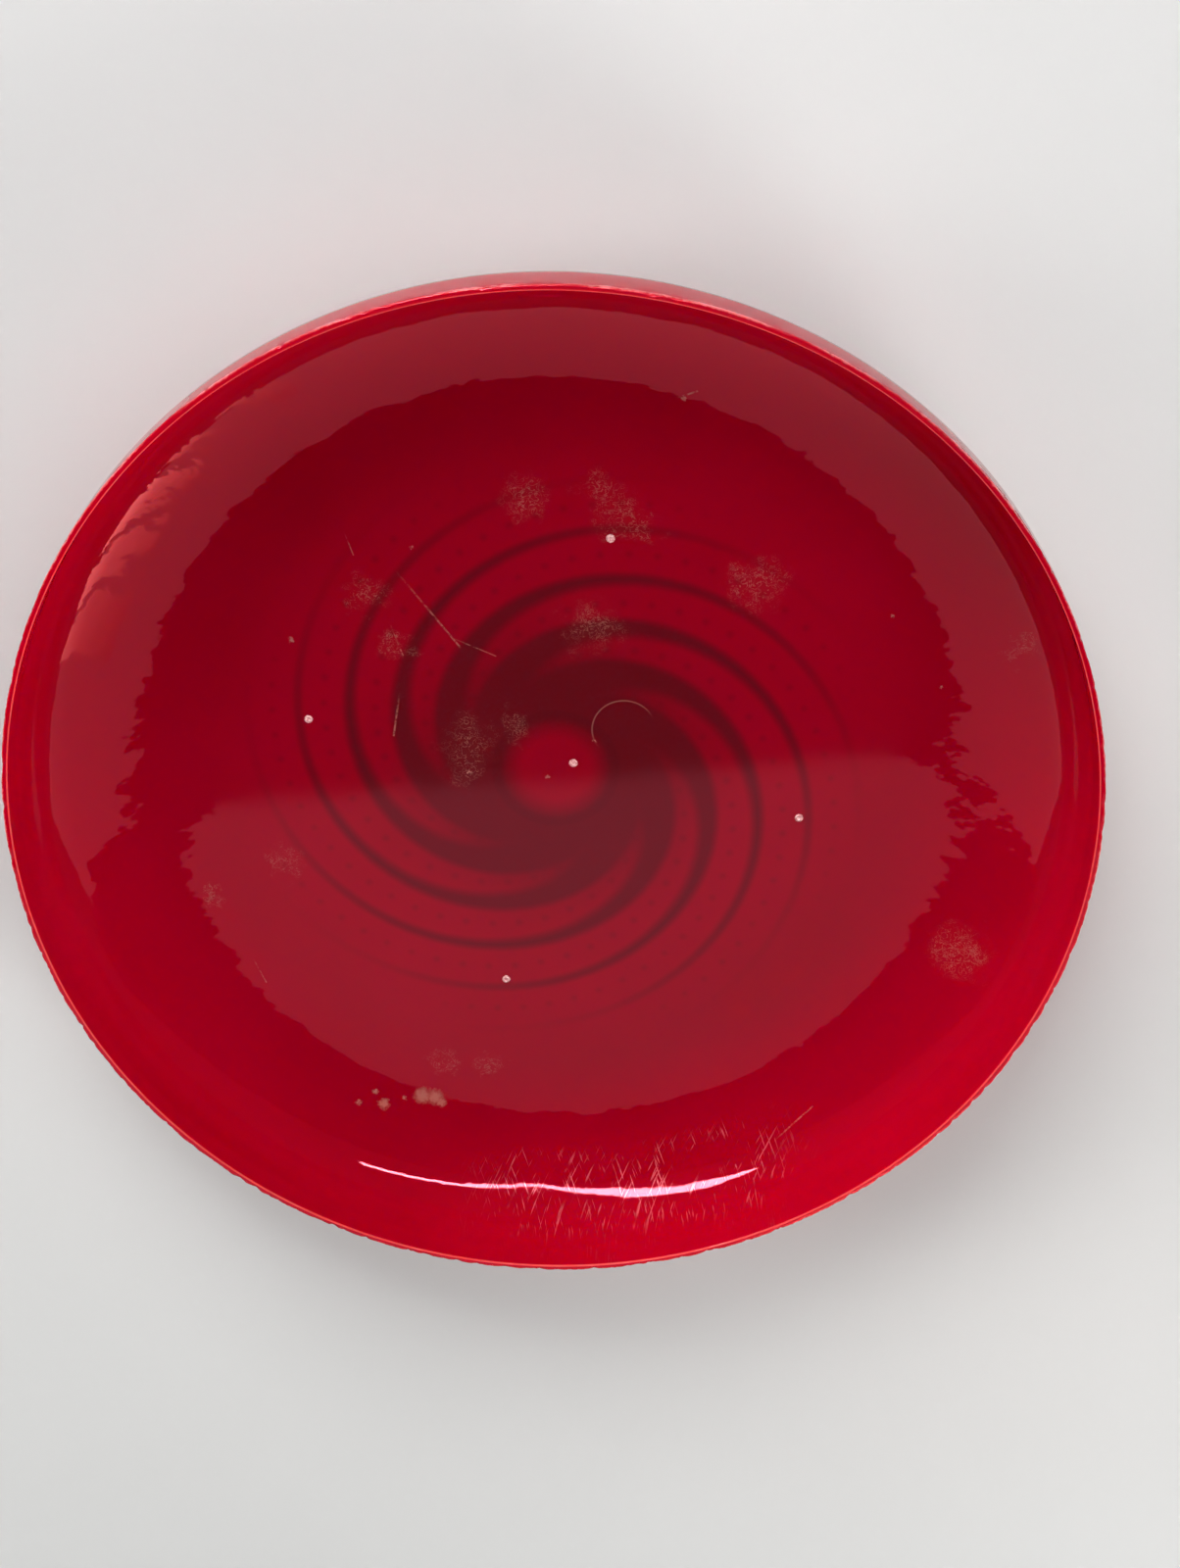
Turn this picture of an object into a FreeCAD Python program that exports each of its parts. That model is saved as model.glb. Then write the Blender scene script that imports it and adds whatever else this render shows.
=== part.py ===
import FreeCAD, Part
import math
import os

# A flying disc, lying on the outside of its flight plate with its open side up.
# Millimetres. Z runs up along the disc's axis from the middle of the flight plate's
# outer face, which is where the disc rests.

# Moulded shell
DISC_RADIUS = 120.0          # outside of the rim
FLAT_RADIUS = 80.0           # the flight plate is flat out to here
WALL = 1.4                   # the same thickness all over
DISC_HEIGHT = 31.0           # flight plate's outer face to the lip
SHOULDER_RADIUS = 66.0       # gentle outside curve beside the flight plate
SHOULDER_TURN = 27.7         # degrees that the shoulder turns before the tighter rim curve
LIP_ROUNDING = 0.35          # on both edges of the lip

# Broken-off sprue gates on the inside of the flight plate
GATE_RADIUS = 1.0
GATE_HEIGHT = 0.35
GATE_PIT_RADIUS = 0.4
GATE_PIT_DEPTH = 0.3
GATE_CIRCLE_RADIUS = 57.5
GATE_CIRCLE_COUNT = 4
GATE_CIRCLE_START = -12.5    # degrees from +X
CENTRE_GATE_OFFSET = (4.0, 1.5)

# Foil print, pressed flush into the outside of the flight plate
FOIL = 0.1
ARM_COUNT = 8
TURN_PER_MM = -3.6875        # degrees of spiral per millimetre outwards, clockwise from above
ARM_START = 163.0            # degrees, where the first arm's middle line would reach the axis
HUB_INNER_RADIUS = 11.8      # clear circle in the middle
MERGE_RADIUS = 21.6          # the arms run together inside this
TIP_RADIUS = 75.0
ARM_DECAY = 16.8             # the arms' angular width falls by a factor e over this
ARM_POINTS = 24              # points on each edge of an arm

DOT_RADIUS = 0.75
DOT_PITCH = 6.3              # along the middle line between two arms
DOT_FIRST_RADIUS = 25.7
DOT_LAST_RADIUS = 71.5

ORIGIN = FreeCAD.Vector(0, 0, 0)
UP = FreeCAD.Vector(0, 0, 1)


def on_profile(radius, height):
    """A point of the shell's section, in the XZ plane."""
    return FreeCAD.Vector(radius, 0, height)


def polar(radius, angle, height=0.0):
    """A point at a radius and an angle in degrees about the axis."""
    turn = math.radians(angle)
    return FreeCAD.Vector(radius * math.cos(turn), radius * math.sin(turn), height)


def profile_arc(centre, radius, start, end):
    """An arc of the section; its angles are in degrees, measured up from straight down."""
    points = []
    for angle in (start, (start + end) / 2, end):
        turn = math.radians(angle)
        across = centre.x + radius * math.sin(turn)
        height = centre.z - radius * math.cos(turn)
        points.append(on_profile(across, height))
    return Part.Arc(*points).toShape()


def line(start, end):
    return Part.LineSegment(start, end).toShape()


def shell_section():
    """Half the shell's section: flight plate, shoulder, rim and lip, outside and inside."""
    turn = math.radians(SHOULDER_TURN)
    shoulder_reach = SHOULDER_RADIUS * math.sin(turn)
    rim_radius = (DISC_RADIUS - FLAT_RADIUS - shoulder_reach) / (1 - math.sin(turn))
    shoulder_centre = on_profile(FLAT_RADIUS, SHOULDER_RADIUS)
    shoulder_to_rim = SHOULDER_RADIUS - rim_radius
    rim_centre = on_profile(
        shoulder_centre.x + shoulder_to_rim * math.sin(turn),
        shoulder_centre.z - shoulder_to_rim * math.cos(turn),
    )
    inside = DISC_RADIUS - WALL
    lip_middle = DISC_RADIUS - WALL / 2
    lip_height = DISC_HEIGHT - LIP_ROUNDING
    lip_angle = math.radians(45)
    corner = LIP_ROUNDING * math.cos(lip_angle)
    outer_corner = on_profile(DISC_RADIUS - LIP_ROUNDING + corner, lip_height + corner)
    inner_corner = on_profile(inside + LIP_ROUNDING - corner, lip_height + corner)
    lip_outer = on_profile(DISC_RADIUS - LIP_ROUNDING, DISC_HEIGHT)
    lip_inner = on_profile(inside + LIP_ROUNDING, DISC_HEIGHT)
    edges = [
        line(ORIGIN, on_profile(FLAT_RADIUS, 0)),
        profile_arc(shoulder_centre, SHOULDER_RADIUS, 0, SHOULDER_TURN),
        profile_arc(rim_centre, rim_radius, SHOULDER_TURN, 90),
        line(on_profile(DISC_RADIUS, rim_centre.z), on_profile(DISC_RADIUS, lip_height)),
        Part.Arc(on_profile(DISC_RADIUS, lip_height), outer_corner, lip_outer).toShape(),
        line(lip_outer, on_profile(lip_middle, DISC_HEIGHT)),
        line(on_profile(lip_middle, DISC_HEIGHT), lip_inner),
        Part.Arc(lip_inner, inner_corner, on_profile(inside, lip_height)).toShape(),
        line(on_profile(inside, lip_height), on_profile(inside, rim_centre.z)),
        profile_arc(rim_centre, rim_radius - WALL, 90, SHOULDER_TURN),
        profile_arc(shoulder_centre, SHOULDER_RADIUS - WALL, SHOULDER_TURN, 0),
        line(on_profile(FLAT_RADIUS, WALL), on_profile(0, WALL)),
        line(on_profile(0, WALL), ORIGIN),
    ]
    return Part.Face(Part.Wire(edges))


def gate_places():
    """The middle gate, a little off the axis, and the ring of gates around it."""
    places = [FreeCAD.Vector(CENTRE_GATE_OFFSET[0], CENTRE_GATE_OFFSET[1], WALL)]
    for number in range(GATE_CIRCLE_COUNT):
        angle = GATE_CIRCLE_START + number * 360 / GATE_CIRCLE_COUNT
        places.append(polar(GATE_CIRCLE_RADIUS, angle, WALL))
    return places


def gate_stub(place):
    """A stub with a pit in its top, where the sprue tore off."""
    root = WALL / 2
    base = FreeCAD.Vector(place.x, place.y, place.z - root)
    stub = Part.makeCylinder(GATE_RADIUS, GATE_HEIGHT + root, base, UP)
    pit_floor = FreeCAD.Vector(place.x, place.y, place.z + GATE_HEIGHT - GATE_PIT_DEPTH)
    pit = Part.makeCylinder(GATE_PIT_RADIUS, GATE_PIT_DEPTH + GATE_HEIGHT, pit_floor, UP)
    return stub, pit


def moulded_shell():
    shell = shell_section().revolve(ORIGIN, UP, 360)
    for place in gate_places():
        stub, pit = gate_stub(place)
        shell = shell.fuse(stub).cut(pit)
    return shell


def arm_half_angle(radius):
    """Half an arm's width, in degrees about the axis. Neighbours meet at MERGE_RADIUS."""
    meeting = 180 / ARM_COUNT
    return meeting * math.exp(-(radius - MERGE_RADIUS) / ARM_DECAY)


def spiral_angle(radius, number, between=0.0):
    """The angle of an arm's middle line. between = 0.5 is midway to the next arm."""
    return ARM_START + TURN_PER_MM * radius + (number + between) * 360 / ARM_COUNT


def arm_edge_point(radius, number, side):
    """A point on one edge of an arm; side is -1 or 1."""
    return polar(radius, spiral_angle(radius, number) + side * arm_half_angle(radius))


def arm_edges(number):
    """An arm's two edges, from the hub outwards, and the short cut across its tip."""
    edges = []
    for side in (-1, 1):
        points = []
        for step in range(ARM_POINTS + 1):
            radius = MERGE_RADIUS + (TIP_RADIUS - MERGE_RADIUS) * step / ARM_POINTS
            points.append(arm_edge_point(radius, number, side))
        curve = Part.BSplineCurve()
        curve.interpolate(points)
        edges.append(curve.toShape())
    tip_ends = [arm_edge_point(TIP_RADIUS, number, side) for side in (-1, 1)]
    edges.append(line(*tip_ends))
    return edges


def spiral_print():
    """The hub ring and its arms, one piece of foil."""
    edges = []
    for number in range(ARM_COUNT):
        edges.extend(arm_edges(number))
    outline = Part.Wire(Part.__sortEdges__(edges))
    whole = Part.Face(outline).extrude(UP * FOIL)
    clear_circle = Part.makeCylinder(HUB_INNER_RADIUS, FOIL, ORIGIN, UP)
    return whole.cut(clear_circle)


def dot_radii():
    """Radii of the dots of one row, evenly spaced along their spiral."""
    turn_rate = math.radians(abs(TURN_PER_MM))
    radii = []
    radius = DOT_FIRST_RADIUS
    while radius <= DOT_LAST_RADIUS:
        radii.append(radius)
        radius += DOT_PITCH / math.hypot(1, turn_rate * radius)
    return radii


def dot_rows():
    """A row of separate foil dots midway between each pair of arms."""
    dots = []
    for number in range(ARM_COUNT):
        for radius in dot_radii():
            centre = polar(radius, spiral_angle(radius, number, 0.5))
            dots.append(Part.makeCylinder(DOT_RADIUS, FOIL, centre, UP))
    return Part.makeCompound(dots)


def build():
    spiral = spiral_print()
    dots = dot_rows()
    shell = moulded_shell().cut(spiral).cut(dots)
    nodes = {
        "disc_shell": shell,
        "spiral_print": spiral,
        "dot_print": dots,
    }
    os.makedirs("parts", exist_ok=True)
    for name, shape in nodes.items():
        shape.exportStep(os.path.join("parts", name + ".step"))
        box = shape.BoundBox
        print(name, shape.isValid(), len(shape.Solids), "solids", round(shape.Volume), "mm3", box)


build()
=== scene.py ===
import math
import random

import bpy
from mathutils import Matrix, Vector


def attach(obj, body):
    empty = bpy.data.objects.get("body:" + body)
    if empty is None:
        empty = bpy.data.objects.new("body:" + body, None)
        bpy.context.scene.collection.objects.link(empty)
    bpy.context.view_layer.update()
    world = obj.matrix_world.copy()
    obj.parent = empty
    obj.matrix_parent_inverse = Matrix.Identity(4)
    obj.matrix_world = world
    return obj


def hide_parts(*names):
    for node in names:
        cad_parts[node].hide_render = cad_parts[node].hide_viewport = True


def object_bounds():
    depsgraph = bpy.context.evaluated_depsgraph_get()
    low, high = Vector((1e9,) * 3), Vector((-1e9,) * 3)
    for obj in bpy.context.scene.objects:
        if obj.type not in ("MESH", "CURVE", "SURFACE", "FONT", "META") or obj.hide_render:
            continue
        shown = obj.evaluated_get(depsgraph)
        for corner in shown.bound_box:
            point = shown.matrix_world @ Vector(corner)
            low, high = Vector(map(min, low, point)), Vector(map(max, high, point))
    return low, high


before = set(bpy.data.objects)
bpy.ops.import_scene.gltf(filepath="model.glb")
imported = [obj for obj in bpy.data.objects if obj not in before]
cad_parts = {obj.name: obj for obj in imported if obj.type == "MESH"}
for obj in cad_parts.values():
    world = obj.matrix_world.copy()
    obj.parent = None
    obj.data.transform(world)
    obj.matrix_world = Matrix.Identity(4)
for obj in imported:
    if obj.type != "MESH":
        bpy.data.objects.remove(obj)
cad_low, cad_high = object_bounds()

# The disc lies on the outside of its flight plate, open side up. Its sizes below are in
# millimetres of a disc 240 mm across, and MM turns them into the frame's metres.
DRAWN_RADIUS = 120
RADIUS = max(vertex.co.xy.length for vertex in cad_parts["disc_shell"].data.vertices)
MM = RADIUS / DRAWN_RADIUS
HEIGHT = cad_high.z / MM
RIM = RADIUS / MM

# Moulded shell
FLAT = 80.0                      # the flight plate is flat out to here
WALL = 1.4
SHOULDER_RADIUS = 66.0
SHOULDER_TURN = 27.7             # degrees
LIP_ROUNDING = 0.35
PLATE_GAP = 0.03                 # the foil print stands this far below the plate's outer face
SEGMENTS = 1200                  # around the axis
HOLD = 0.4                       # width of the narrow row beside each change of curve
SHOULDER_ROWS = 10
RIM_ROWS = 12
LIP_ROWS = 3
WALL_ROW = 2.0                   # distance of the wall's last full row from the lip

# Wear of the lip's outer edge
LIP_WEAR_DEPTH = 1.6             # how far down the wall it reaches
LIP_SEED = 7
BURR = 0.12                      # the ragged fringe of the edge
NICK_COUNT = 260
NICK_REACHES = (1, 1, 2, 2, 3, 5)   # in segments, either way
NICK_DEPTHS = (0.1, 0.5)
NICK_ROUGHNESS = (0.6, 1.0)
NICK_DROP = 0.7                  # height lost for each millimetre of depth

# Broken-off sprue gates
GATE_RADIUS = 0.9
GATE_HEIGHT = 0.35
GATE_PIT_RADIUS = 0.35
GATE_PIT_FLOOR = 0.03            # above the plate's inner face
GATE_SIDES = 28
GATE_SEED = 3
GATE_WANDER = (0.93, 1.07)       # of a ring's radius
GATE_UNEVEN = 0.04
GATE_SUNK = 0.05                 # below the plate's inner face
GATE_CIRCLE_RADIUS = 57.5
GATE_CIRCLE_COUNT = 4
GATE_CIRCLE_START = -12.5        # degrees from +X
CENTRE_GATE = (4.0, 1.5)

# Foil print on the outside, which shows through the plate as a soft shadow
ARM_COUNT = 8
ARM_STEP = 360 / ARM_COUNT
TURN_PER_MM = -3.6875            # degrees of spiral per millimetre outwards
TURN_RATE = math.radians(abs(TURN_PER_MM))
ARM_START = 163.0
HUB_INNER_RADIUS = 11.8
MERGE_RADIUS = 21.6
ARM_DECAY = 16.8
DOT_RADIUS = 0.75
DOT_PITCH = 6.3
DOT_FIRST_RADIUS = 25.7
DOT_LAST_RADIUS = 71.5
ARM_BLUR = 1.4
DOT_BLUR = 0.8
HALO_REACH = 23.0                # the painted print shadow is darkest out to here
HALO_DECAY = 13.5
HALO_STRENGTH = 0.7
ARM_STRENGTH = 0.76
DOT_STRENGTH = 0.24
ARMS_FADE = (78, 56)             # the arms' ends show least
HUB_CLEARING = (7, 13.5)         # the shadow thins between these radii
CLEAR_SHADOW = 0.26              # what is left of it in the clear circle
HUB_EDGE_IN = (11.5, 12.5)       # a slightly darker ring round the clear circle
HUB_EDGE_OUT = (15.2, 14.2)
HUB_EDGE_STRENGTH = 0.04

# Wear on the inside: (x, y, reach) of each scuffed patch and each pale speck, and
# (start, end, width) of each scratch
SCUFFS = [
    (-6, 65, 7), (10, 67, 6), (15, 62, 7), (20, 58, 5), (45, 46, 8), (-42, 43, 6), (8, 35, 8),
    (-20, 7, 8), (-9, 11, 4.5), (95, -45, 9), (103, 33, 4), (-82, -33, 4), (-36, 31, 5), (-20, -1, 5),
    (-64, -25, 5), (-28, -80, 4), (-17, -80, 4),
]
SPECKS = [
    (-33.5, -88.5, 2.8), (-30.5, -89, 2.6), (-29, -90.5, 1.6), (-38, -89, 0.7), (-43, -90, 1.8),
    (-45, -87, 1), (-49, -89, 0.9), (28, 88, 0.7), (75, 38, 0.6), (87, 21, 0.6),
    (-59, 32, 0.9), (-31, 54, 0.6), (9, 7, 0.5), (-2, -2, 0.6), (-20, -1, 0.7),
]
SCRATCHES = [
    ((-36, 50), (-21, 30), 0.3),
    ((-24, 33), (-13, 28), 0.2),
    ((-37, 37), (-34, 28), 0.25),
    ((-46, 58), (-44, 52), 0.2),
    ((26, 88), (31, 90), 0.3),
    ((52, -98), (62, -88), 0.25),
    ((-73, -50), (-70, -57), 0.2),
    ((-35, 20), (-37, 8), 0.3),
]
ARC_MIDDLE = (15.5, 10)          # of a thin curved scratch
ARC_RADIUS = 7.2

# Dense hairlines low on one side, painted pale partly as scratches and partly as glints, each line being
# where their stretch fades in or out
HAIR_ANGLES_IN = (-104, -94)     # degrees from +X
HAIR_ANGLES_OUT = (-56, -66)
HAIR_RADII_IN = (101, 106)
HAIR_RADII_OUT = (119, 117)

# Plastic and colours
REFRACTION = 1.51
SCATTER_RADIUS = (1.0, 0.03, 0.05)     # red light travels furthest
SCATTER_DEPTH = 4.0
RED_LOW = (0.30, 0.0, 0.010, 1)
RED_HIGH = (0.34, 0.0, 0.014, 1)
GLOSS_TINT = (1.0, 0.2, 0.27, 1)
PRINT_SHADOW_COLOUR = (0.06, 0.006, 0.008, 1)     # the print's painted shadow, seen through the plastic
RUBBED_COLOUR = (0.42, 0.16, 0.12, 1)
HAIR_AND_GLINT_COLOUR = (0.75, 0.25, 0.26, 1)
BRUISE_AND_HIGHLIGHT_COLOUR = (0.85, 0.42, 0.40, 1)
LIP_LINE_HIGHLIGHT_COLOUR = (0.62, 0.10, 0.09, 1)
TORN_LOW = (0.5, 0.16, 0.17, 1)
TORN_HIGH = (0.75, 0.42, 0.40, 1)
FOIL_LOW = (0.028, 0.011, 0.013, 1)
FOIL_HIGH = (0.05, 0.018, 0.02, 1)
FOIL_WORN = (0.3, 0.002, 0.012, 1)
FLOOR_LOW = (0.54, 0.54, 0.53, 1)
FLOOR_HIGH = (0.58, 0.58, 0.57, 1)
BACKDROP_LOW = (0.66, 0.66, 0.65, 1)
BACKDROP_HIGH = (0.70, 0.70, 0.69, 1)
SKY_COLOUR = (0.95, 0.97, 1, 1)
SKY_BRIGHTNESS = 0.08

# Studio, in disc radii from the middle of the plate, with the lights' power in watts
FLOOR_SIZE = 100
FLOOR_DROP = 0.2                 # millimetres below the disc
BACKDROP = 9
BACKDROP_SIDES = 96
LIGHTS = [                       # name, place, width, height, power
    ("key", (-2.5, 11, 6), 8, 6, 28),
    ("overhead", (4.5, 2.5, 7), 8, 8, 2.6),
    ("left", (-8, 0.5, 2), 5, 3, 7),
    ("right", (6.6, -6.2, 2), 6, 3, 17),
    ("front", (0, -9, 1), 6, 0.6, 3),
]

# Cards that the gloss mirrors, as pairs of corners from one end to the other
PALE_CARD = [(-11, -6.2, 2.5), (-6, -1.9, 8.3), (11, -5, 2.5), (6, -0.7, 8.3)]
PALE_BRIGHTNESS = 1.1
BLACK_FLAG = [(-5, -1.6, 2.38), (-5, 0.1, 2.38), (5, -0.77, 2.38), (5, 0.1, 2.38)]
STREAK_CARD = [
    (5.9, 8.3, 8), (6.2, 8.0, 8.3), (1.5, 5.8, 8), (1.7, 5.3, 8.3), (0.2, 3.4, 8), (0.2, 2.9, 8.3),
    (-2.8, 9.9, 7.8), (-3.8, 8.1, 8.7), (-5.2, 8.6, 5.2), (-6.2, 7.6, 6.3),
]
STREAK_BRIGHTNESS = 75

# A window that the gloss mirrors, in disc radii: the (x, z) of each bar's foot and top, and the
# brightness at the foot of the pane that follows the bar
WINDOW_Y = -2.2
WINDOW_BARS = [
    ((1.95, 0.9), (0.95, 3.2)),
    ((1.45, 1.1), (0.55, 2.9)),
    ((1.15, 0.9), (0.45, 2.45)),
    ((0.75, 0.9), (0.42, 2.0)),
    ((0.55, 0.9), (0.28, 2.0)),
    ((0.35, 0.9), (0.15, 1.9)),
]
PANE_BRIGHTNESS = [6, 9, 10, 5, 3]
BAR_HALF_WIDTH = 0.055
WINDOW_COLOUR = (1, 0.6, 0.5)

# Camera, looking down into the disc
CAMERA_AIM = Vector((0.0682, 0.0904, 0)) * RADIUS
CAMERA_DISTANCE = 4.2349 * RADIUS
CAMERA_ELEVATION = 63.61         # degrees
CAMERA_AZIMUTH = 88.49           # degrees from +X
CAMERA_ROLL = 0.157              # degrees
CAMERA_LENS = 54.0               # millimetres, as the next line
CAMERA_SENSOR = 36.0


# ---------------------------------------------------------------- meshes

def piece(name, mesh, material):
    """A visible piece of the disc, riding on its only body."""
    made = bpy.data.objects.new(name, mesh)
    bpy.context.scene.collection.objects.link(made)
    made.data.materials.append(material)
    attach(made, "root")
    return made


def smooth_mesh(name, points, faces):
    """A smooth-shaded mesh from points in millimetres."""
    mesh = bpy.data.meshes.new(name)
    mesh.from_pydata([Vector(point) * MM for point in points], [], faces)
    mesh.shade_smooth()
    mesh.update()
    return mesh


def spread(start, end, steps):
    """Evenly spaced numbers, both ends among them."""
    return [start + (end - start) * step / steps for step in range(steps + 1)]


def arc_rows(centre, arc_radius, start, end, steps):
    """Points of an arc of the shell's section; angles are degrees up from straight down."""
    rows = []
    for angle in spread(start, end, steps):
        turn = math.radians(angle)
        rows.append((centre[0] + arc_radius * math.sin(turn), centre[1] - arc_radius * math.cos(turn)))
    return rows


def shell_side(offset):
    """One side of the section from the plate to the lip; offset is the distance from the outside."""
    turn = math.radians(SHOULDER_TURN)
    rim_radius = (RIM - FLAT - SHOULDER_RADIUS * math.sin(turn)) / (1 - math.sin(turn))
    inward = SHOULDER_RADIUS - rim_radius
    shoulder_centre = (FLAT, SHOULDER_RADIUS)
    rim_centre = (FLAT + inward * math.sin(turn), SHOULDER_RADIUS - inward * math.cos(turn))
    plate = max(offset, PLATE_GAP)
    rows = [(radius, plate) for radius in (FLAT / 4, FLAT / 2, FLAT * 3 / 4, FLAT - HOLD)]
    rows += arc_rows(shoulder_centre, SHOULDER_RADIUS - plate, 0, SHOULDER_TURN, SHOULDER_ROWS)
    rows += arc_rows(rim_centre, rim_radius - offset, SHOULDER_TURN, 90, RIM_ROWS)[1:]
    wall_top = HEIGHT - LIP_ROUNDING
    wall_heights = (rim_centre[1] + HOLD, wall_top - WALL_ROW, wall_top - HOLD)
    rows += [(RIM - offset, height) for height in wall_heights]
    return rows


def shell_rows():
    """The whole section, from the middle of the outside round the lip to the middle of the inside."""
    wall_top = HEIGHT - LIP_ROUNDING
    outer_corner = (RIM - LIP_ROUNDING, wall_top)
    inner_corner = (RIM - WALL + LIP_ROUNDING, wall_top)
    lip = arc_rows(outer_corner, LIP_ROUNDING, 90, 180, LIP_ROWS)
    lip += arc_rows(inner_corner, LIP_ROUNDING, 180, 270, LIP_ROWS)
    return shell_side(0) + lip + shell_side(WALL)[::-1]


def lip_wear(generator):
    """How deeply the lip's outer edge is nicked at each segment, in millimetres."""
    wear = [generator.uniform(0, BURR) for _ in range(SEGMENTS)]
    for _ in range(NICK_COUNT):
        middle = generator.randrange(SEGMENTS)
        reach = generator.choice(NICK_REACHES)
        depth = generator.uniform(*NICK_DEPTHS)
        for step in range(-reach, reach + 1):
            here = (middle + step) % SEGMENTS
            fall = 1 - abs(step) / (reach + 1)
            wear[here] = max(wear[here], depth * fall * generator.uniform(*NICK_ROUGHNESS))
    return wear


def worn(radius, height, depth):
    """A point of the section after the lip's outer edge has lost that depth."""
    near_lip = max(0, 1 - (HEIGHT - height) / LIP_WEAR_DEPTH)
    near_outside = max(0, 1 - (RIM - radius) / WALL)
    loss = depth * near_lip * near_outside
    return radius - loss, height - NICK_DROP * loss


def shell_mesh():
    rows = shell_rows()
    wear = lip_wear(random.Random(LIP_SEED))
    points = [(0, 0, PLATE_GAP), (0, 0, WALL)]
    for radius, height in rows:
        for segment in range(SEGMENTS):
            angle = math.tau * segment / SEGMENTS
            across, up = worn(radius, height, wear[segment])
            points.append((across * math.cos(angle), across * math.sin(angle), up))
    faces = []
    for segment in range(SEGMENTS):
        after = (segment + 1) % SEGMENTS
        faces.append((0, 2 + after, 2 + segment))
        for row in range(len(rows) - 1):
            low = 2 + row * SEGMENTS
            high = low + SEGMENTS
            faces.append((low + segment, low + after, high + after, high + segment))
        last = 2 + (len(rows) - 1) * SEGMENTS
        faces.append((1, last + segment, last + after))
    return smooth_mesh("moulded_shell", points, faces)


def gate_places():
    places = [CENTRE_GATE]
    for number in range(GATE_CIRCLE_COUNT):
        angle = math.radians(GATE_CIRCLE_START + number * 360 / GATE_CIRCLE_COUNT)
        places.append((GATE_CIRCLE_RADIUS * math.cos(angle), GATE_CIRCLE_RADIUS * math.sin(angle)))
    return places


def gate_mesh(place, generator):
    """The torn stub of one gate: a low ragged ring round a pit."""
    section = [
        (GATE_RADIUS * 1.1, -GATE_SUNK),
        (GATE_RADIUS, GATE_HEIGHT * 0.45),
        (GATE_RADIUS * 0.82, GATE_HEIGHT * 0.85),
        (GATE_RADIUS * 0.6, GATE_HEIGHT * 0.8),
        (GATE_PIT_RADIUS, GATE_HEIGHT * 0.5),
        (GATE_PIT_RADIUS * 0.6, GATE_HEIGHT * 0.15),
    ]
    points = []
    for radius, height in section:
        for side in range(GATE_SIDES):
            angle = math.tau * side / GATE_SIDES
            across = radius * generator.uniform(*GATE_WANDER)
            up = WALL + height + generator.uniform(-GATE_UNEVEN, GATE_UNEVEN)
            points.append((place[0] + across * math.cos(angle), place[1] + across * math.sin(angle), up))
    points.append((place[0], place[1], WALL + GATE_PIT_FLOOR))
    faces = []
    for side in range(GATE_SIDES):
        after = (side + 1) % GATE_SIDES
        for row in range(len(section) - 1):
            low = row * GATE_SIDES
            high = low + GATE_SIDES
            faces.append((low + side, low + after, high + after, high + side))
        last = (len(section) - 1) * GATE_SIDES
        faces.append((last + side, last + after, len(points) - 1))
    return smooth_mesh("gate_mark", points, faces)


# ---------------------------------------------------------------- materials

class Field:
    """A number that varies over a surface. Arithmetic with fields makes Math nodes."""

    def __init__(self, surface, socket):
        self.surface = surface
        self.socket = socket

    def math(self, operation, *others):
        return self.surface.math(operation, self, *others)

    def __add__(self, other):
        return self.math("ADD", other)

    def __sub__(self, other):
        return self.math("SUBTRACT", other)

    def __mul__(self, other):
        return self.math("MULTIPLY", other)

    def __truediv__(self, other):
        return self.math("DIVIDE", other)

    def __rsub__(self, other):
        return self.surface.math("SUBTRACT", other, self)

    def __rtruediv__(self, other):
        return self.surface.math("DIVIDE", other, self)

    def squared(self):
        return self * self

    def root(self):
        return self.math("SQRT")

    def size(self):
        return self.math("ABSOLUTE")

    def most(self, other):
        return self.math("MAXIMUM", other)

    def ramp(self, start, end):
        """0 at start, 1 at end, with soft ends."""
        node = self.surface.node("ShaderNodeMapRange")
        node.interpolation_type = "SMOOTHSTEP"
        self.surface.connect(self, node.inputs["Value"])
        node.inputs["From Min"].default_value = min(start, end)
        node.inputs["From Max"].default_value = max(start, end)
        node.inputs["To Min"].default_value = 0 if start < end else 1
        node.inputs["To Max"].default_value = 1 if start < end else 0
        return Field(self.surface, node.outputs["Result"])


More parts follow.
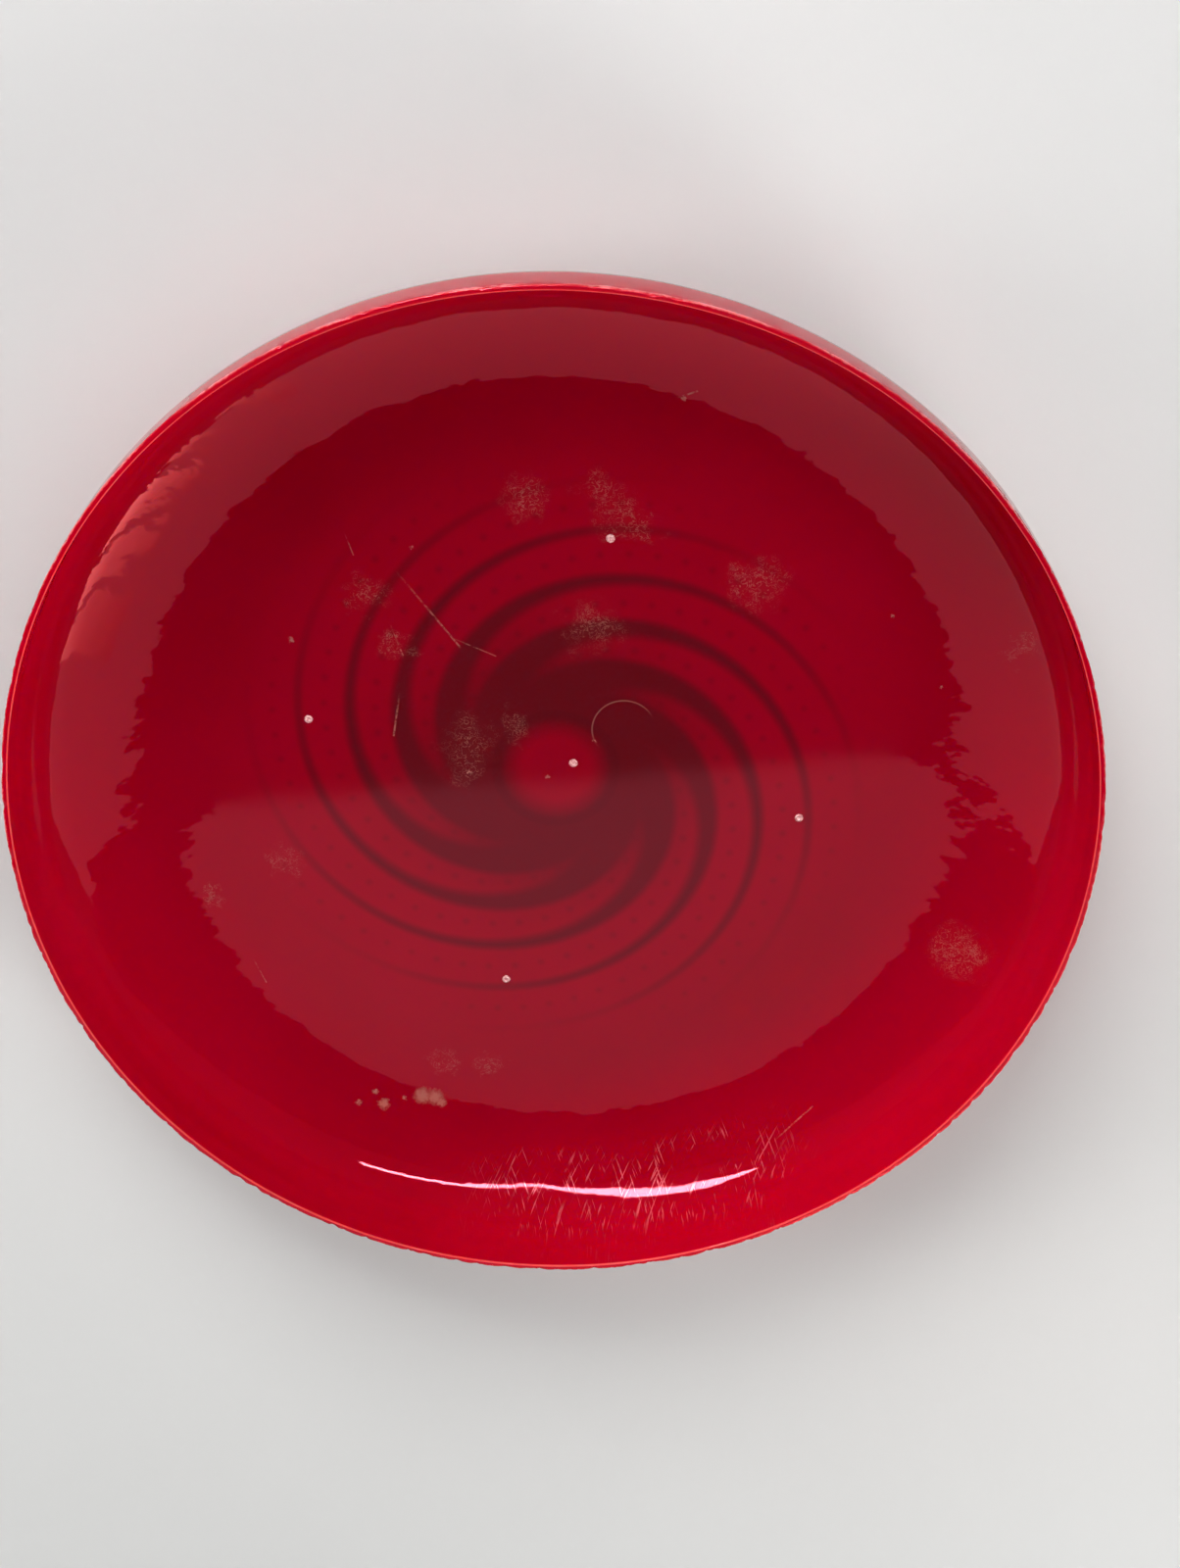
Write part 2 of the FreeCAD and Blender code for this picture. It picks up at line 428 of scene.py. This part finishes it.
class Surface:
    """A material being built. x, y and z are fields of the position in millimetres."""

    def __init__(self, name):
        self.material = bpy.data.materials.new(name)
        self.material.use_nodes = True
        self.tree = self.material.node_tree
        self.shader = self.tree.nodes["Principled BSDF"]
        coordinates = self.node("ShaderNodeTexCoord")
        scale = self.node("ShaderNodeVectorMath")
        scale.operation = "SCALE"
        scale.inputs["Scale"].default_value = 1 / MM
        self.tree.links.new(coordinates.outputs["Object"], scale.inputs[0])
        self.place = scale.outputs["Vector"]
        split = self.node("ShaderNodeSeparateXYZ")
        self.tree.links.new(self.place, split.inputs[0])
        self.x, self.y, self.z = (Field(self, socket) for socket in split.outputs)
        self.radius = (self.x.squared() + self.y.squared()).root()

    def node(self, kind):
        return self.tree.nodes.new(kind)

    def connect(self, value, socket):
        """Feeds a field, a socket or a plain number or colour into a socket."""
        if isinstance(value, Field):
            value = value.socket
        if isinstance(value, bpy.types.NodeSocket):
            self.tree.links.new(value, socket)
        else:
            socket.default_value = value

    def set(self, name, value):
        self.connect(value, self.shader.inputs[name])

    def math(self, operation, *values):
        node = self.node("ShaderNodeMath")
        node.operation = operation
        for value, socket in zip(values, node.inputs):
            self.connect(value, socket)
        return Field(self, node.outputs[0])

    def angle(self):
        """Degrees about the axis from +X."""
        return self.math("DEGREES", self.math("ARCTAN2", self.y, self.x))

    def moved(self, scale, turn, start):
        """The position scaled along each axis, after turning it by degrees about the axis."""
        node = self.node("ShaderNodeMapping")
        node.vector_type = "TEXTURE"
        self.connect(self.place, node.inputs["Vector"])
        node.inputs["Location"].default_value = start
        node.inputs["Rotation"].default_value = (0, 0, math.radians(turn))
        node.inputs["Scale"].default_value = scale
        return node.outputs["Vector"]

    def noise(self, size, detail=2.0, stretch=(1, 1, 1), turn=0.0, start=(0, 0, 0), distortion=0.0):
        """Noise with features of that size, drawn out along its turned axes by stretch."""
        node = self.node("ShaderNodeTexNoise")
        vector = self.moved([size * factor for factor in stretch], turn, start)
        self.connect(vector, node.inputs["Vector"])
        node.inputs["Scale"].default_value = 1.0
        node.inputs["Detail"].default_value = detail
        node.inputs["Distortion"].default_value = distortion
        return Field(self, node.outputs["Fac"])

    def mix(self, low, high, share):
        """The colour between two colours."""
        node = self.node("ShaderNodeMix")
        node.data_type = "RGBA"
        node.clamp_factor = True
        colours = [socket for socket in node.inputs if socket.type == "RGBA"]
        self.connect(share, node.inputs["Factor"])
        self.connect(low, colours[0])
        self.connect(high, colours[1])
        return next(socket for socket in node.outputs if socket.type == "RGBA")

    def bump(self, height):
        """Raises the surface by a field of millimetres."""
        node = self.node("ShaderNodeBump")
        node.inputs["Distance"].default_value = MM
        node.inputs["Strength"].default_value = 1.0
        self.connect(height, node.inputs["Height"])
        self.set("Normal", node.outputs["Normal"])


def print_place(surface):
    """Where a point lies in the foil print: degrees round from arm 0, and degrees per millimetre."""
    turn = surface.angle() - surface.radius * TURN_PER_MM - ARM_START
    per_mm = ((math.degrees(1) / surface.radius).squared() + TURN_PER_MM ** 2).root()
    return turn, per_mm


def arm_shadow(surface, blur):
    """1 inside the foil print's hub and arms, with edges as soft as blur millimetres."""
    turn, per_mm = print_place(surface)
    off_middle = (turn - (turn / ARM_STEP).math("ROUND") * ARM_STEP).size()
    half_angle = ((surface.radius - MERGE_RADIUS) / -ARM_DECAY).math("EXPONENT") * (ARM_STEP / 2)
    distance = off_middle / per_mm
    half_width = half_angle / per_mm
    arm = (half_width - distance).ramp(-blur, blur) + (half_width + distance).ramp(-blur, blur) - 1
    hub = surface.radius.ramp(HUB_INNER_RADIUS - blur, HUB_INNER_RADIUS + blur)
    fade = surface.radius.ramp(*ARMS_FADE)
    return arm * hub * fade


def spiral_length(radius):
    """The length of the print's spiral from the axis out to a radius."""
    slope = radius * TURN_RATE
    return (radius * math.hypot(1, slope) + math.asinh(slope) / TURN_RATE) / 2


def spiral_length_field(radius):
    """The same length, where the radius is a field."""
    slope = radius * TURN_RATE
    root = (slope.squared() + 1).root()
    return (radius * root + (slope + root).math("LOGARITHM", math.e) / TURN_RATE) / 2


def dot_shadow(surface, blur):
    """1 inside the foil dots, which stand in a row midway between each pair of arms."""
    turn, per_mm = print_place(surface)
    row = turn / ARM_STEP - 0.5
    off_row = (row - row.math("ROUND")) * ARM_STEP / per_mm
    lean = (surface.radius * TURN_RATE).squared() + 1
    foot = surface.radius - off_row * (1 - 1 / lean).root()
    along = (spiral_length_field(foot) - spiral_length(DOT_FIRST_RADIUS)) / DOT_PITCH
    off_dot = (along - along.math("ROUND")) * DOT_PITCH
    distance = (off_row.squared() + off_dot.squared()).root()
    inner = surface.radius.ramp(DOT_FIRST_RADIUS - 2, DOT_FIRST_RADIUS - 1)
    outer = surface.radius.ramp(DOT_LAST_RADIUS + 1, DOT_LAST_RADIUS - 6)
    return distance.ramp(DOT_RADIUS + blur, DOT_RADIUS - blur) * inner * outer


def print_shadow(surface):
    """How much of the foil print shows through the plate as painted shadow: hub, arms, dots and a halo
    round them.
    """
    halo = ((surface.radius - HALO_REACH) / -HALO_DECAY).math("EXPONENT").math("MINIMUM", 1.0)
    halo = halo * HALO_STRENGTH
    hub = surface.radius.ramp(*HUB_CLEARING) * (1 - CLEAR_SHADOW) + CLEAR_SHADOW
    ring = surface.radius.ramp(*HUB_EDGE_OUT) * surface.radius.ramp(*HUB_EDGE_IN) * HUB_EDGE_STRENGTH
    arms = (ARM_STRENGTH - halo) * arm_shadow(surface, ARM_BLUR)
    dots = (DOT_STRENGTH - halo * 0.3) * dot_shadow(surface, DOT_BLUR)
    covered = halo + arms + dots
    return covered * hub + ring


def near(x, y, reach):
    """1 where the fields x and y are 0, falling to 0 at that distance."""
    return (x.squared() + y.squared()).root().ramp(reach, reach * 0.2)


def spots(x, y, places):
    """The spots of a list of (x, y, reach), from the fields x and y."""
    found = None
    for place_x, place_y, reach in places:
        spot = near(x - place_x, y - place_y, reach)
        found = found.most(spot) if found else spot
    return found


def scuffs(surface):
    """Ragged patches of fine veined rubbing on the inside."""
    x = surface.x + (surface.noise(4, 4) - 0.5) * 14
    y = surface.y + (surface.noise(4, 4, start=(50, 0, 0)) - 0.5) * 14
    veins = (surface.noise(1.6, 4, distortion=1.5) - 0.5).size().ramp(0.035, 0.0)
    return spots(x, y, SCUFFS) * (veins * 0.9 + 0.06)


def specks(surface):
    """Small pale knocks, and one thin curved scratch."""
    x = surface.x + (surface.noise(0.8, 2) - 0.5) * 2
    y = surface.y + (surface.noise(0.8, 2, start=(20, 0, 0)) - 0.5) * 2
    from_middle = ((surface.x - ARC_MIDDLE[0]).squared() + (surface.y - ARC_MIDDLE[1]).squared()).root()
    arc = (from_middle - ARC_RADIUS).size().ramp(0.25, 0.05)
    arc = arc * (surface.y - surface.x * 0.6).ramp(-1, 5) * 0.5
    return spots(x, y, SPECKS).most(arc)


def scratch(surface, broken, start, end, width):
    """A straight scratch, fading towards its start; broken thins it out in places."""
    length = math.dist(start, end)
    turn = math.atan2(end[1] - start[1], end[0] - start[0])
    x = surface.x - start[0]
    y = surface.y - start[1]
    along = x * math.cos(turn) + y * math.sin(turn)
    across = (y * math.cos(turn) - x * math.sin(turn)).size()
    ends = along.ramp(0, length * 0.6) * along.ramp(length, length * 0.97)
    return across.ramp(width, width * 0.3) * ends * broken


def hairlines(surface):
    """Dense short scratches where the disc was rubbed low on one side, under the highlight; their pale
    colour is partly wear and partly a painted glint.
    """
    angle = surface.angle()
    region = angle.ramp(*HAIR_ANGLES_IN) * angle.ramp(*HAIR_ANGLES_OUT)
    region = region * surface.radius.ramp(*HAIR_RADII_IN) * surface.radius.ramp(*HAIR_RADII_OUT)
    hair_and_glint = surface.noise(0.45, 1, (18, 1, 18), 62).ramp(0.60, 0.70)
    hair_and_glint = hair_and_glint.most(surface.noise(0.4, 1, (16, 1, 16), 112, (40, 10, 0)).ramp(0.61, 0.70))
    return region, hair_and_glint * region * surface.noise(7, 2).ramp(0.42, 0.6)


def lip_whitening(surface):
    """Pale bruising and a painted highlight along the lip's ragged outer edge, and a thin line of
    painted highlight and wear along its inner one.
    """
    ragged = surface.noise(1.1, 4)
    outer = (surface.radius - ragged * 0.8).ramp(RIM - 0.85, RIM - 0.55)
    outer = outer * surface.z.ramp(HEIGHT - 1.1, HEIGHT - 0.5)
    outer = outer * surface.noise(14, 3).ramp(0.35, 0.6)
    inner = (surface.radius - (RIM - WALL + 0.12)).size().ramp(0.2, 0.08)
    inner = inner * surface.z.ramp(HEIGHT - 0.6, HEIGHT - 0.3)
    return outer, inner


def shell_rubbing(surface):
    """How rubbed the inside is: scuffs, knocks and scratches."""
    rubbed = (scuffs(surface) * 0.45).most(specks(surface) * 0.8)
    broken = surface.noise(0.9, 2).ramp(0.3, 0.6) * 0.55
    for start, end, width in SCRATCHES:
        rubbed = rubbed.most(scratch(surface, broken, start, end, width))
    return rubbed


def shell_plastic():
    """Translucent red plastic with a tinted gloss, the print's painted shadow, the wear, and painted
    glints and highlights on the hairlines and the lip's edges.
    """
    surface = Surface("shell_plastic")
    inside = surface.z.ramp(WALL * 0.45, WALL * 0.55)
    rubbed = shell_rubbing(surface) * inside
    region, hair_and_glint = hairlines(surface)
    outer, inner = lip_whitening(surface)
    colour = surface.mix(RED_LOW, RED_HIGH, surface.noise(30, 2))
    # The foil print's shadow, seen through the plastic, is painted darker into the inside's colour
    colour = surface.mix(colour, PRINT_SHADOW_COLOUR, print_shadow(surface) * inside)
    colour = surface.mix(colour, RUBBED_COLOUR, rubbed)
    # Pale hairlines: scratches, partly a painted glint where the highlight crosses them
    colour = surface.mix(colour, HAIR_AND_GLINT_COLOUR, hair_and_glint * 0.25)
    # The lip's edges are painted paler: bruised wear, and painted highlights on their rounding
    colour = surface.mix(colour, BRUISE_AND_HIGHLIGHT_COLOUR, outer * 0.35)
    colour = surface.mix(colour, LIP_LINE_HIGHLIGHT_COLOUR, inner * 0.7)
    surface.set("Base Color", colour)
    gloss = surface.noise(14, 3) * 0.03 + surface.radius.ramp(FLAT + 4, FLAT - 4) * 0.05 + 0.01
    wear = rubbed * 0.5 + region * 0.02 + hair_and_glint * 0.25 + (outer + inner) * 0.3
    surface.set("Roughness", gloss + wear)
    surface.set("IOR", REFRACTION)
    surface.set("Specular Tint", GLOSS_TINT)
    surface.set("Subsurface Weight", 1.0)
    surface.set("Subsurface Radius", SCATTER_RADIUS)
    surface.set("Subsurface Scale", SCATTER_DEPTH * MM)
    uneven = surface.radius.ramp(FLAT - 8, FLAT + 6) * 0.85 + 0.15
    ripple = surface.noise(3, 1) * 0.02 + surface.noise(9, 1) * 0.08
    surface.bump(surface.noise(30, 1) * 0.09 + ripple * uneven)
    return surface.material


def gate_plastic():
    """The pale, rough plastic of a torn stub."""
    surface = Surface("gate_plastic")
    torn = surface.noise(0.5, 3).ramp(0.35, 0.65)
    surface.set("Base Color", surface.mix(TORN_LOW, TORN_HIGH, torn))
    surface.set("Roughness", 0.6)
    surface.bump(surface.noise(0.3, 3) * 0.08)
    return surface.material


def print_foil():
    """Dark stamping foil, worn through in places to the plastic."""
    surface = Surface("print_foil")
    worn_off = surface.noise(3.5, 6).ramp(0.6, 0.68)
    foil = surface.mix(FOIL_LOW, FOIL_HIGH, surface.noise(8, 3))
    surface.set("Base Color", surface.mix(foil, FOIL_WORN, worn_off))
    surface.set("Roughness", surface.noise(5, 4) * 0.3 + 0.3)
    surface.bump(surface.noise(0.8, 3) * 0.01)
    return surface.material


def floor_paint():
    surface = Surface("floor_paint")
    surface.set("Base Color", surface.mix(FLOOR_LOW, FLOOR_HIGH, surface.noise(120, 3)))
    surface.set("Roughness", 0.7)
    surface.bump(surface.noise(4, 3) * 0.02)
    return surface.material


def backdrop_paint():
    """A pale colour that needs no light."""
    surface = Surface("backdrop_paint")
    surface.set("Base Color", (0, 0, 0, 1))
    surface.set("Emission Color", surface.mix(BACKDROP_LOW, BACKDROP_HIGH, surface.noise(400, 2)))
    surface.set("Emission Strength", 1.0)
    surface.set("Specular IOR Level", 0.0)
    return surface.material


# ---------------------------------------------------------------- studio

def add_floor():
    bpy.ops.mesh.primitive_plane_add(size=FLOOR_SIZE * RADIUS, location=(0, 0, -FLOOR_DROP * MM))
    floor = bpy.context.object
    floor.name = "floor"
    floor.data.materials.append(floor_paint())


def add_backdrop():
    """A pale wall all round, which only the camera sees."""
    bpy.ops.mesh.primitive_cylinder_add(
        vertices=BACKDROP_SIDES,
        radius=BACKDROP * RADIUS,
        depth=BACKDROP * RADIUS,
        end_fill_type="NOTHING",
        location=(0, 0, BACKDROP * RADIUS / 2 - FLOOR_DROP * MM),
    )
    wall = bpy.context.object
    wall.name = "backdrop"
    wall.data.materials.append(backdrop_paint())
    wall.visible_diffuse = False
    wall.visible_glossy = False
    wall.visible_transmission = False
    wall.visible_shadow = False


def towards(place, target, up):
    """A placement at place whose -Z side faces target."""
    back = (Vector(place) - Vector(target)).normalized()
    right = Vector(up).cross(back).normalized()
    upward = back.cross(right)
    turned = Matrix((right, upward, back)).transposed().to_4x4()
    return Matrix.Translation(Vector(place)) @ turned


def soft_light(name, place, width, height, power):
    """A large soft light aimed at the disc. The disc's gloss doesn't mirror it."""
    light = bpy.data.lights.new(name, "AREA")
    light.shape = "RECTANGLE"
    light.size = width * RADIUS
    light.size_y = height * RADIUS
    light.energy = power
    lamp = bpy.data.objects.new(name, light)
    bpy.context.scene.collection.objects.link(lamp)
    lamp.matrix_world = towards(Vector(place) * RADIUS, (0, 0, 0), (0, 1, 0))
    lamp.visible_glossy = False
    lamp.visible_camera = False


def glow(name, bottom, top, colour):
    """A glowing material, with its brightness at the card's bottom and at its top."""
    material = bpy.data.materials.new(name)
    material.use_nodes = True
    tree = material.node_tree
    tree.nodes.clear()
    shader = tree.nodes.new("ShaderNodeEmission")
    shader.inputs["Color"].default_value = (*colour, 1)
    coordinates = tree.nodes.new("ShaderNodeTexCoord")
    split = tree.nodes.new("ShaderNodeSeparateXYZ")
    fade = tree.nodes.new("ShaderNodeMapRange")
    fade.inputs["To Min"].default_value = bottom
    fade.inputs["To Max"].default_value = top
    tree.links.new(coordinates.outputs["Generated"], split.inputs[0])
    tree.links.new(split.outputs["Z"], fade.inputs["Value"])
    tree.links.new(fade.outputs["Result"], shader.inputs["Strength"])
    output = tree.nodes.new("ShaderNodeOutputMaterial")
    tree.links.new(shader.outputs[0], output.inputs["Surface"])
    return material


def reflector(name, corners, bottom, top, colour=(1, 1, 1)):
    """A card that only reflections see. Its corners are in disc radii."""
    mesh = bpy.data.meshes.new(name)
    faces = []
    for column in range(len(corners) // 2 - 1):
        faces.append((2 * column, 2 * column + 1, 2 * column + 3, 2 * column + 2))
    mesh.from_pydata([Vector(corner) * RADIUS for corner in corners], [], faces)
    card = bpy.data.objects.new(name, mesh)
    bpy.context.scene.collection.objects.link(card)
    card.data.materials.append(glow(name, bottom, top, colour))
    card.visible_camera = False
    card.visible_diffuse = False
    card.visible_shadow = False


def add_window():
    """The window's panes, each between two of its slanted bars."""
    for number, brightness in enumerate(PANE_BRIGHTNESS):
        corners = [(x - BAR_HALF_WIDTH, WINDOW_Y, z) for x, z in WINDOW_BARS[number]]
        corners += [(x + BAR_HALF_WIDTH, WINDOW_Y, z) for x, z in WINDOW_BARS[number + 1]]
        reflector("window_" + str(number), corners, brightness, PALE_BRIGHTNESS, WINDOW_COLOUR)


def add_lights():
    world = bpy.data.worlds.new("studio")
    world.use_nodes = True
    sky = world.node_tree.nodes["Background"]
    sky.inputs["Color"].default_value = SKY_COLOUR
    sky.inputs["Strength"].default_value = SKY_BRIGHTNESS
    bpy.context.scene.world = world
    for light in LIGHTS:
        soft_light(*light)


def add_reflections():
    """What the disc's gloss mirrors."""
    reflector("pale_card", PALE_CARD, PALE_BRIGHTNESS, PALE_BRIGHTNESS)
    reflector("black_flag", BLACK_FLAG, 0, 0)
    add_window()
    reflector("streak_card", STREAK_CARD, STREAK_BRIGHTNESS, STREAK_BRIGHTNESS)


def add_camera():
    camera = bpy.data.cameras.new("camera")
    camera.lens = CAMERA_LENS
    camera.sensor_width = CAMERA_SENSOR
    viewer = bpy.data.objects.new("camera", camera)
    bpy.context.scene.collection.objects.link(viewer)
    elevation = math.radians(CAMERA_ELEVATION)
    azimuth = math.radians(CAMERA_AZIMUTH)
    outward = Vector((
        math.cos(elevation) * math.cos(azimuth),
        math.cos(elevation) * math.sin(azimuth),
        math.sin(elevation),
    ))
    aim = CAMERA_AIM + Vector((0, 0, HEIGHT * MM))
    roll = math.radians(CAMERA_ROLL)
    image_up = (math.sin(roll), math.cos(roll), 0)
    viewer.matrix_world = towards(aim + outward * CAMERA_DISTANCE, aim, image_up)
    bpy.context.scene.camera = viewer


def dress(node, material):
    """Gives a CAD node its material."""
    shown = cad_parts[node]
    shown.data.materials.clear()
    shown.data.materials.append(material)


shell = piece("moulded_shell", shell_mesh(), shell_plastic())
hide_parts("disc_shell")
torn_plastic = gate_plastic()
tearing = random.Random(GATE_SEED)
for number, place in enumerate(gate_places()):
    piece("gate_mark_" + str(number), gate_mesh(place, tearing), torn_plastic)
foil = print_foil()
dress("spiral_print", foil)
dress("dot_print", foil)
add_floor()
add_backdrop()
add_lights()
add_reflections()
add_camera()
bpy.context.scene.view_settings.view_transform = "Standard"
